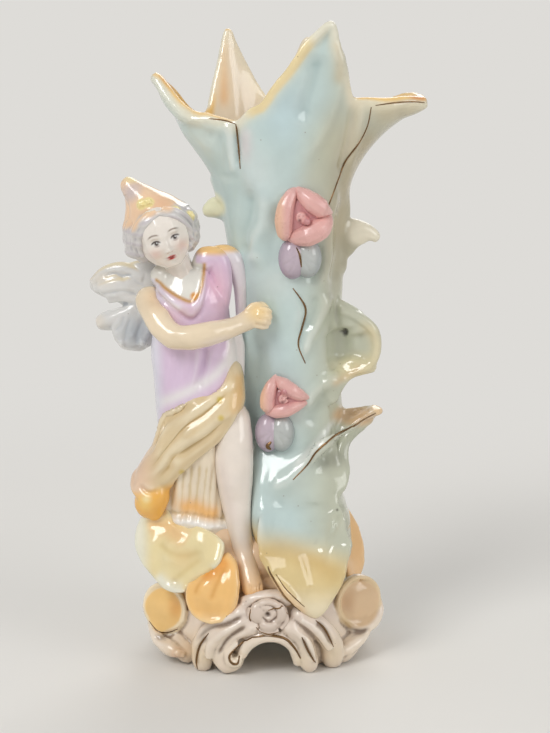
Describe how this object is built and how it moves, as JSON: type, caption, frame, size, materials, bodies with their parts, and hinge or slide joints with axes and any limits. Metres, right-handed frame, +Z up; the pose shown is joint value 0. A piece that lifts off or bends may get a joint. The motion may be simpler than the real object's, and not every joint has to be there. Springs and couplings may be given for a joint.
{
  "type": "figural bud vase",
  "caption": "Glazed porcelain bud vase: fluted tree trunk with a flaring lobed mouth, a winged figure in a pointed cap, applied flowers, and a hollow scroll base.",
  "frame": {"origin": "middle of the vase's own bounding box in X and Y, on the surface it stands on", "axes": "+Z up the trunk, +X to the viewer's right, -Y towards the viewer"},
  "size_m": [0.1328, 0.0736, 0.2492],
  "materials": {
    "aqua_glaze": "high-gloss clear glaze over pale celadon aqua, airbrushed, craze-fine pits",
    "cream_glaze": "high-gloss clear glaze over cream",
    "ivory_glaze": "high-gloss clear glaze over warm grey-mauve ivory",
    "lilac_glaze": "high-gloss clear glaze over pink-lilac",
    "skin_glaze": "high-gloss clear glaze over white porcelain",
    "blush_glaze": "high-gloss clear glaze over peach blush",
    "grey_glaze": "lustrous glaze over pearl grey",
    "orange_glaze": "high-gloss clear glaze over yellow-orange blush",
    "ochre_glaze": "high-gloss clear glaze over beige ochre",
    "yellow_glaze": "high-gloss clear glaze over pale yellow",
    "pink_glaze": "satin-gloss pink clay body with thin glaze"
  },
  "bodies": {
    "root": {"arch_rim": "ivory_glaze", "back_ground_leaf": "blush_glaze", "bodice": "lilac_glaze", "branch_knot": "aqua_glaze", "branch_thorn": "cream_glaze", "cabochon": "ivory_glaze", "cap": "orange_glaze", "curled_leaf": "aqua_glaze", "hair": "grey_glaze", "head": "skin_glaze", "left_arm": "skin_glaze", "left_ground_leaf": "yellow_glaze", "left_inner_rib": "ivory_glaze", "left_leg": "skin_glaze", "left_outer_rib": "ivory_glaze", "left_rear_scroll": "ivory_glaze", "left_roundel": "ochre_glaze", "left_side_scroll": "ivory_glaze", "lower_bud_left_leaf": "lilac_glaze", "lower_bud_right_leaf": "grey_glaze", "lower_flower_centre": "pink_glaze", "lower_flower_left_petal": "pink_glaze", "lower_flower_lower_petal": "pink_glaze", "lower_flower_upper_petal": "pink_glaze", "lower_leaf": "aqua_glaze", "lower_wing": "grey_glaze", "mound": "cream_glaze", "orange_leaf": "orange_glaze", "plinth": "ivory_glaze", "right_arm": "blush_glaze", "right_ground_leaf": "yellow_glaze", "right_inner_rib": "ivory_glaze", "right_outer_rib": "ivory_glaze", "right_rear_scroll": "ivory_glaze", "right_roundel": "blush_glaze", "right_side_scroll": "ivory_glaze", "sash": "ochre_glaze", "sash_end": "orange_glaze", "toe_rest": "ivory_glaze", "underskirt": "cream_glaze", "upper_bud_left_leaf": "lilac_glaze", "upper_bud_right_leaf": "grey_glaze", "upper_flower_centre": "pink_glaze", "upper_flower_left_petal": "pink_glaze", "upper_flower_lower_petal": "pink_glaze", "upper_flower_upper_petal": "pink_glaze", "upper_wing": "grey_glaze", "vase_body": "aqua_glaze", "wing_lobe": "ivory_glaze"}
  },
  "joints": []
}
